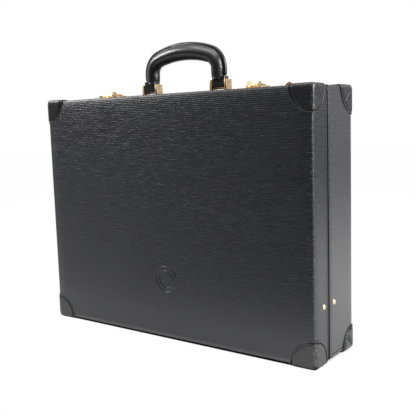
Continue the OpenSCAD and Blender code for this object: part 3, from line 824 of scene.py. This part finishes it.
# reach along the width, up the height and along the depth (mm), depth of the pleats, arc power
PATCHES = {
    ("lid", "bottom"): (35.0, 35.6, 30.0, 0.0, 2.2), ("lid", "top"): (32.0, 33.5, 29.5, 1.0, 2.2),
    ("base", "bottom"): (32.0, 29.5, 29.0, 1.3, 2.1), ("base", "top"): (32.0, 35.6, 33.5, 1.0, 1.8),
}
threads = {"lid": [], "base": []}
for (body, level), (along, up, depth, pleat, power) in PATCHES.items():
    for side in ("left", "right"):
        reach = {"big": (along * MM, up * MM), "side": (depth * MM, up * MM),
                 "end": (along * MM, depth * MM)}
        threads[body] += corner_patch(f"{body}_corner_{level}_{side}", body,
                                      f"{body}_patch_{level}_{side}", reach, pleat, power)
for body, runs in threads.items():
    thread_piece(f"{body}_corner_stitching", runs, body)


# ---- handle ----

grip_lo, grip_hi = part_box("handle_grip")
core_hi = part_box("handle_core")[1]
CORE_R = 4.0 * MM
HANDLE_Y = (grip_lo.y + grip_hi.y) / 2
LEG_X = core_hi.x - CORE_R
SHOULDER_R = 18.5 * MM                       # of the grip's middle line
SHOULDER_X = LEG_X - SHOULDER_R
SHOULDER_Z = TOP + 30.5 * MM
CREST_Z = core_hi.z - CORE_R + 1.0 * MM
ANKLE_Z = grip_lo.z - 3.3 * MM               # the leather goes on down, slimmer, over the tab
WELT_SEAM, WELT_HALF, WELT_PITCH = 11.65 * MM, 1.95 * MM, 3.1 * MM


def handle_line():
    """The grip's middle line from right to left: point, outward direction and distance along."""
    rise = CREST_Z - SHOULDER_Z
    big = (SHOULDER_X ** 2 + rise ** 2 - SHOULDER_R ** 2) / (2 * (rise - SHOULDER_R))
    turn = math.pi / 2 - math.asin(SHOULDER_X / (big - SHOULDER_R))
    raw = [(LEG_X, z, 0.0) for z in steps(ANKLE_Z, grip_lo.z, 0.55 * MM)[:-1]]
    raw += [(LEG_X, z, 0.0) for z in steps(grip_lo.z, SHOULDER_Z, 1.5 * MM)[:-1]]
    raw += [(SHOULDER_X + SHOULDER_R * math.cos(a), SHOULDER_Z + SHOULDER_R * math.sin(a), a)
            for a in steps(0, turn, math.radians(4))]
    raw += [(big * math.cos(a), CREST_Z - big + big * math.sin(a), a)
            for a in steps(turn, math.pi / 2, math.radians(2.2))[1:]]
    left = [(-x, z, math.pi - a) for x, z, a in reversed(raw[:-1])]
    line, s, last = [], 0.0, None
    for x, z, a in raw + left:
        p = Vector((x, HANDLE_Y, z))
        s += (p - last).length if last else 0
        last = p
        line.append((p, Vector((math.cos(a), 0, math.sin(a))), s))
    return line


def grip_radius(s, total):
    """Slim at the ankles, fuller across the palm, with a turned collar at each end."""
    end = min(s, total - s) - (grip_lo.z - ANKLE_Z)
    r = 8.9 * MM + 1.3 * MM * smoothstep(12 * MM, 75 * MM, end)
    ankle = 0.6 * MM * (1 - smoothstep(-2 * MM, 6 * MM, end))
    nip = 0.45 * MM * math.exp(-((end + 1.3 * MM) / (0.4 * MM)) ** 2)
    tuck = 0.9 * MM * (end < -2.9 * MM)
    return r - ankle - nip - tuck


def grip_section(r):
    """Half the grip's section from the welt's tip to the palm side: (outward, sideways)."""
    welt = [(13.5, 0.0), (13.46, 0.8), (13.3, 1.4), (13.0, 1.9), (12.5, 2.2), (12.1, 2.12),
            (11.8, 1.95), (11.5, 1.95), (11.2, 2.12), (10.8, 2.25)]
    half = [(u * MM, v * MM) for u, v in welt]
    half += [(r + 0.8 * MM, 2.3 * MM), (r + 0.35 * MM, 1.9 * MM), (r + 0.05 * MM, 1.95 * MM),
             (r - 0.25 * MM, 2.5 * MM)]
    start = math.asin(3.3 * MM / r)
    half += [(r * math.cos(b), r * math.sin(b)) for b in steps(start, math.pi, math.radians(9))]
    return half


def handle_grip():
    """The grip's leather: a wrapped body with a sewn welt along its outer side."""
    line = handle_line()
    total = line[-1][2]
    verts = []
    for p, out, s in line:
        half = grip_section(grip_radius(s, total))
        full = half + [(u, -v) for u, v in reversed(half[1:-1])]
        end = min(s, total - s)
        bend = smoothstep(0.94, 0.8, abs(out.x)) * smoothstep(0.25, 0.5, abs(out.x))
        for u, v in full:
            inner = smoothstep(-0.2, -0.9, u / (9 * MM))
            crease = 0.1 * MM * bend * inner * (0.5 + 0.5 * math.sin(s / (1.15 * MM)))
            u2 = u + crease
            above = end - (grip_lo.z - ANKLE_Z)
            if u > 9.2 * MM:   # the welt is trimmed round at its ends
                u2 -= (u - 9.2 * MM) * (1 - smoothstep(0, 3.5 * MM, above)) * 0.75
            if above < 0.3 * MM:   # between the bracket's ears it keeps within the tab's width
                u2 = min(max(u2, -6.2 * MM), 8.4 * MM)
            verts.append(p + out * u2 + Vector((0, v, 0)))
        n = len(full)
    faces = tube_sides(len(line), n)
    for i in (0, len(line) - 1):
        mid = len(verts)
        verts.append(line[i][0])
        faces += [(i * n + k, i * n + (k + 1) % n, mid) for k in range(n)]
    obj = make_mesh("handle_grip_leather", verts, faces, sharp=70)
    runs = []
    for side in (1, -1):
        path = [(p + out * WELT_SEAM + Vector((0, side * WELT_HALF, 0)), Vector((0, side, 0)))
                for p, out, s in line if 4 * MM < s < total - 4 * MM]
        runs.append(stitch_run(path, WELT_PITCH))
    place(obj, "handle", "handle_leather", ("handle_grip",))
    thread_piece("handle_grip_stitching", runs, "handle", 2.3 * MM, 0.13 * MM)


def handle_tab(side):
    """The strap loop that folds round the pivot: rounded ends and two rows of stitches."""
    node = f"handle_tab_{side}"
    lo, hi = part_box(node)
    cy, half_x, r = (lo.y + hi.y) / 2, (hi.x - lo.x) / 2, (hi.y - lo.y) / 2
    cx, bend_z, top = (lo.x + hi.x) / 2, lo.z + r, hi.z + 0.6 * MM
    ends = ((-1.0, 1.3), (-0.985, 0.75), (-0.955, 0.32), (-0.9, 0.06), (-0.85, 0.0), (-0.6, 0.0),
            (-0.3, 0.0), (0.0, 0.0))
    ends = ends + tuple((-x, inset) for x, inset in reversed(ends[:-1]))
    verts = []
    for fx, inset in ends:
        rr = r - inset * MM
        ring = [(-rr, z) for z in steps(top, bend_z, 2 * MM)]
        ring += [(rr * math.cos(a), bend_z + rr * math.sin(a))
                 for a in steps(math.pi, math.tau, math.pi / 12)[1:]]
        ring += [(rr, z) for z in steps(bend_z, top, 2 * MM)[1:]]
        verts += [(cx + fx * half_x, cy + y, z) for y, z in ring]
    obj = make_mesh(f"{node}_leather", verts, tube_faces(len(ends), len(ring)), sharp=50)
    mark(obj, "edge", lambda co: 0.9 * smoothstep(half_x - 1.6 * MM, half_x, abs(co.x - cx)))
    place(obj, "handle", "handle_leather", (node,))
    runs = []
    for face in (-1, 1):
        for edge in (-1, 1):
            x = cx + edge * (half_x - 2.2 * MM)
            path = [(Vector((x, cy + face * r, z)), Vector((0, face, 0)))
                    for z in steps(bend_z + 1.0 * MM, hi.z - 0.8 * MM, 1 * MM)]
            runs.append(stitch_run(path, STITCH_PITCH))
    return runs


handle_grip()
thread_piece("handle_tab_stitching", handle_tab("left") + handle_tab("right"), "handle",
             2.2 * MM, 0.3 * MM)


# ---- document pocket ----

def document_pocket():
    """A sewn pocket: a flat stitched border, full in the middle, open along its hemmed top."""
    lo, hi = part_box("document_pocket")
    border, rise = 5.5 * MM, 13 * MM
    corner = 9 * MM
    margin, long_step = 35 * MM, 12 * MM
    thick, hem_deep, long_pitch = 1.7 * MM, 11 * MM, 3.6 * MM

    def edge_distance(x, z):
        dx, dz = min(x - lo.x, hi.x - x), z - lo.z
        if dx < corner and dz < corner:
            return corner - math.hypot(corner - dx, corner - dz)
        return min(dx, dz)

    border_lines = [d * MM for d in (0, 1, 2, 3, 4, 5, 6, 7, 8.5, 10, 12, 14, 16, 18.5, 22, 27, 35)]
    xs = merged([lo.x + d for d in border_lines] + [hi.x - d for d in border_lines]
                + steps(lo.x + margin, hi.x - margin, long_step))
    hem = [hi.z - d * MM for d in (0, 0.6, 1.4, 3, 6, 9, 10.2, 11, 11.8, 14, 18)]
    zs = merged([lo.z + d for d in border_lines] + hem
                + steps(lo.z + margin, hi.z - 18 * MM, long_step))

    def front(x, z):
        """How far back the pocket's outer side is: full in the middle, ridged at the hem."""
        d = edge_distance(x, z)
        full = smoothstep(border, border + rise, d)
        sag = 0.5 + 0.5 * noise.noise(Vector((x * 14, z * 11, 3.7)))
        y = lo.y + thick + full * (5.6 * MM + 1.0 * MM * sag)
        down = hi.z - z
        y += 0.55 * MM * (1 - smoothstep(9.6 * MM, 11.2 * MM, down))
        y -= 0.35 * MM * math.exp(-((down - hem_deep) / (0.7 * MM)) ** 2)
        return y

    verts = []
    for z in zs:
        for x in xs:
            px, pz = x, z
            dx, dz = min(x - lo.x, hi.x - x), z - lo.z
            if dx < corner and dz < corner:   # the lower corners are cut round
                m = max(corner - dx, corner - dz)
                d = Vector((corner - dx, corner - dz)).normalized() * m
                px = lo.x + corner - d.x if x < 0 else hi.x - corner + d.x
                pz = lo.z + corner - d.y
            verts.append((px, front(px, pz), pz))
    faces = [tuple(reversed(f)) for f in grid_faces(len(xs), len(zs))]
    obj = make_mesh("document_pocket_leather", verts, faces)
    outward = sum(p.normal.y * p.area for p in obj.data.polygons)
    solidify(obj, math.copysign(1.5 * MM, outward))
    place(obj, "lid", "pocket_leather", ("document_pocket",))

    inset = 2.6 * MM
    r = corner - inset
    line = [(lo.x + inset, z) for z in steps(hi.z - 2 * MM, lo.z + corner, 3 * MM)]
    line += [(lo.x + corner + r * math.cos(a), lo.z + corner + r * math.sin(a))
             for a in steps(math.pi, 1.5 * math.pi, math.pi / 16)]
    line += [(x, lo.z + inset) for x in steps(lo.x + corner, hi.x - corner, 3 * MM)]
    line += [(hi.x - corner + r * math.cos(a), lo.z + corner + r * math.sin(a))
             for a in steps(-math.pi / 2, 0, math.pi / 16)]
    line += [(hi.x - inset, z) for z in steps(lo.z + corner, hi.z - 2 * MM, 3 * MM)]
    rows = [line, [(x, hi.z - 8.4 * MM) for x in steps(lo.x + 8 * MM, hi.x - 8 * MM, 3 * MM)]]
    runs = []
    for row in rows:
        path = [(Vector((x, front(x, z), z)), Vector((0, 1, 0))) for x, z in row]
        runs.append(stitch_run(path, long_pitch))
    thread_piece("document_pocket_stitching", runs, "lid", 2.6 * MM, 0.36 * MM)


document_pocket()


# ---- metal ----

CREASE = 35.0       # degrees: sharper edges than this are broken


def dressed(node, body, slot, width):
    """A metal part with its sharp edges broken, by a width in mm."""
    mesh = frame["nodes"][node].data.copy()
    bm = bmesh.new()
    bm.from_mesh(mesh)
    bmesh.ops.remove_doubles(bm, verts=bm.verts, dist=0.004 * MM)
    bmesh.ops.dissolve_limit(bm, angle_limit=math.radians(0.8), verts=bm.verts, edges=bm.edges)
    sharp = [e for e in bm.edges
             if len(e.link_faces) == 2 and e.calc_face_angle(0) > math.radians(CREASE)]
    bmesh.ops.bevel(bm, geom=sharp, offset=width * MM, offset_type="OFFSET", segments=2,
                    profile=0.5, affect="EDGES", clamp_overlap=True)
    bmesh.ops.triangulate(bm, faces=[f for f in bm.faces if len(f.verts) > 4])
    for edge in bm.edges:
        if len(edge.link_faces) == 2:
            edge.smooth = edge.calc_face_angle(0) < math.radians(40)
    for face in bm.faces:
        face.smooth = True
    bm.to_mesh(mesh)
    bm.free()
    if "custom_normal" in mesh.attributes:
        mesh.attributes.remove(mesh.attributes["custom_normal"])
    obj = bpy.data.objects.new(f"{node}_finished", mesh)
    bpy.context.scene.collection.objects.link(obj)
    place(obj, body, slot, (node,))


METAL = {       # mm broken off each edge
    "handle_bracket_left": 0.45, "handle_bracket_right": 0.45, "lock_plate_left": 0.3,
    "lock_plate_right": 0.3, "hasp_left": 0.45, "hasp_right": 0.45, "lock_housing_left": 0.5,
    "lock_housing_right": 0.5, "lock_button_left": 0.35, "lock_button_right": 0.35,
    "strap_lugs": 0.4, "hinge_base_leaf": 0.12, "hinge_lid_leaf": 0.12, "base_stay_left": 0.15,
    "base_stay_right": 0.15, "lid_stay_left": 0.15, "lid_stay_right": 0.15,
}
SLOTS = {p["node"]: p["material_slot"] for p in frame["record"]["subparts"]}
for node, width in METAL.items():
    dressed(node, body_of(frame["nodes"][node])[0], SLOTS[node], width)


# ---- camera, light and floor ----

def make_camera():
    """The photo's viewpoint: 36.7 degrees round to the right, looking 7.2 degrees down."""
    yaw, pitch, roll = (math.radians(a) for a in (36.738, 7.226, -1.788))
    forward = Vector((-math.sin(yaw) * math.cos(pitch), math.cos(yaw) * math.cos(pitch),
                      -math.sin(pitch)))
    right = Vector((math.cos(yaw), math.sin(yaw), 0))
    up = right.cross(forward)
    rolled_right = math.cos(roll) * right + math.sin(roll) * up
    rolled_up = -math.sin(roll) * right + math.cos(roll) * up
    data = bpy.data.cameras.new("camera")
    data.sensor_width = 36.0
    data.lens = 56.56
    cam = bpy.data.objects.new("camera", data)
    axes = Matrix((rolled_right, rolled_up, -forward)).transposed().to_4x4()
    cam.matrix_world = Matrix.Translation((549.4 * MM, FRONT - 641.2 * MM, 281.7 * MM)) @ axes
    bpy.context.scene.collection.objects.link(cam)
    bpy.context.scene.camera = cam


def area_light(name, spot, target, size, power):
    data = bpy.data.lights.new(name, "AREA")
    data.shape = "RECTANGLE"
    data.size, data.size_y = size
    data.energy = power
    lamp = bpy.data.objects.new(name, data)
    lamp.location = spot
    lamp.rotation_mode = "QUATERNION"
    lamp.rotation_quaternion = (Vector(target) - Vector(spot)).to_track_quat("-Z", "Y")
    bpy.context.scene.collection.objects.link(lamp)


def make_floor():
    """A pale floor, solid under the base and thin elsewhere, so a lid swung below it still shows.

    The camera sees it evenly pale. The light it gives back to the case is brighter at the left,
    underneath and behind than in front.
    """
    far = 6.0
    mesh = bpy.data.meshes.new("floor")
    mesh.from_pydata([(-far, -far, GROUND), (far, -far, GROUND), (far, far, GROUND),
                      (-far, far, GROUND)], [], [(0, 1, 2, 3)])
    floor = bpy.data.objects.new("floor", mesh)
    bpy.context.scene.collection.objects.link(floor)
    sh = Shader("pale floor")
    parts = sh.add("ShaderNodeSeparateXYZ")
    sh.link(sh.coords(), parts.inputs[0])
    unseen = sh.math("SUBTRACT", 1.0, sh.add("ShaderNodeLightPath").outputs["Is Camera Ray"])
    bounce = sh.range(parts.outputs[1], -0.34, -0.12, *FLOOR_BOUNCE)
    left = sh.range(parts.outputs[0], -0.75, 0.1, LEFT_BOUNCE, 0.0)
    away = sh.add("ShaderNodeVectorMath", operation="LENGTH")
    sh.link(sh.coords(), away.inputs[0])
    fade = sh.range(away.outputs["Value"], 0.5, 2.2, 1.0, 0.25)
    bounce = sh.math("MULTIPLY", sh.math("MAXIMUM", bounce, left), fade)
    pale = sh.add("ShaderNodeCombineColor")
    for channel in pale.inputs:
        sh.link(bounce, channel)
    sh.set(Base_Color=sh.mix(unseen, (0.88, 0.88, 0.885), pale.outputs[0]), Roughness=0.9,
           Specular_IOR_Level=0.2)
    beyond_x = sh.math("SUBTRACT", sh.math("ABSOLUTE", parts.outputs[0]), HALF_W)
    off_middle = sh.math("ABSOLUTE", sh.math("SUBTRACT", parts.outputs[1], MIDDLE))
    beyond_y = sh.math("SUBTRACT", off_middle, REAR - MIDDLE)
    beyond = sh.math("MAXIMUM", beyond_x, beyond_y)
    solid = sh.range(beyond, -1 * MM, 4 * MM, 1.0, THIN)
    clear = sh.add("ShaderNodeBsdfTransparent")
    blend = sh.add("ShaderNodeMixShader")
    above = sh.math("SUBTRACT", 1.0, sh.add("ShaderNodeNewGeometry").outputs["Backfacing"])
    sh.link(sh.math("MULTIPLY", sh.math("MAXIMUM", solid, unseen), above), blend.inputs[0])
    sh.link(clear.outputs[0], blend.inputs[1])
    sh.link(sh.bsdf.outputs[0], blend.inputs[2])
    out = next(n for n in sh.tree.nodes if n.type == "OUTPUT_MATERIAL")
    sh.link(blend.outputs[0], out.inputs[0])
    floor.data.materials.append(sh.mat)


def make_world():
    """White behind the case. What lights it is dim in front and brighter behind and above."""
    world = bpy.data.worlds.new("studio")
    bpy.context.scene.world = world
    world.use_nodes = True
    nodes, links = world.node_tree.nodes, world.node_tree.links

    def add(kind, inputs=(), **settings):
        node = nodes.new(kind)
        for key, value in settings.items():
            setattr(node, key, value)
        for i, value in inputs:
            if hasattr(value, "is_output"):
                links.new(value, node.inputs[i])
            else:
                node.inputs[i].default_value = value
        return node.outputs[0]

    way = nodes.new("ShaderNodeTexCoord").outputs["Generated"]
    split = nodes.new("ShaderNodeSeparateXYZ")
    links.new(way, split.inputs[0])
    x, y, z = split.outputs
    glow = add("ShaderNodeMapRange",
               ((0, y), (1, -0.82), (2, -0.40), (3, FRONT_GLOW), (4, BACK_GLOW)),
               interpolation_type="SMOOTHSTEP")
    aside = add("ShaderNodeMapRange", ((0, x), (1, -0.4), (2, 0.4), (3, 1.0), (4, RIGHT_GLOW)),
                interpolation_type="SMOOTHSTEP")
    glow = add("ShaderNodeMath", ((0, glow), (1, aside)), operation="MULTIPLY")
    lift = add("ShaderNodeMapRange", ((0, z), (1, 0.18), (2, 0.75), (3, 0.0), (4, TOP_GLOW)),
               interpolation_type="SMOOTHSTEP")
    total = add("ShaderNodeMath", ((0, glow), (1, lift)), operation="MAXIMUM")
    seen = nodes.new("ShaderNodeLightPath").outputs["Is Camera Ray"]
    links.new(add("ShaderNodeMix", ((0, seen), (2, total), (3, 1.0)), data_type="FLOAT"),
              nodes["Background"].inputs[1])
    nodes["Background"].inputs[0].default_value = (1, 1, 1, 1)


MIDDLE = (REAR + BASE_RIM) / 2 + 1 * MM     # of the base's footprint, kept behind the hinge
FRONT_GLOW, BACK_GLOW, TOP_GLOW = 0.02, 0.62, 0.6
RIGHT_GLOW = 0.9                            # times the glow on the left
FLOOR_BOUNCE, LEFT_BOUNCE = (0.05, 0.88), 0.7       # (in front, behind), and at the left
THIN = 0.02                                 # how solid the floor looks away from the base
bpy.context.scene.view_settings.view_transform = "Standard"
make_camera()
make_floor()
make_world()
area_light("top_box", (0.0, -0.35, 1.6), (0, 0, 0.2), (1.4, 1.0), 13)
area_light("left_strip", (-1.55, -0.75, 1.35), (0, 0, 0.3), (0.8, 0.7), 22)
area_light("right_box", (1.9, 0.15, 1.0), (0.1, 0, 0.1), (1.2, 1.2), 60)
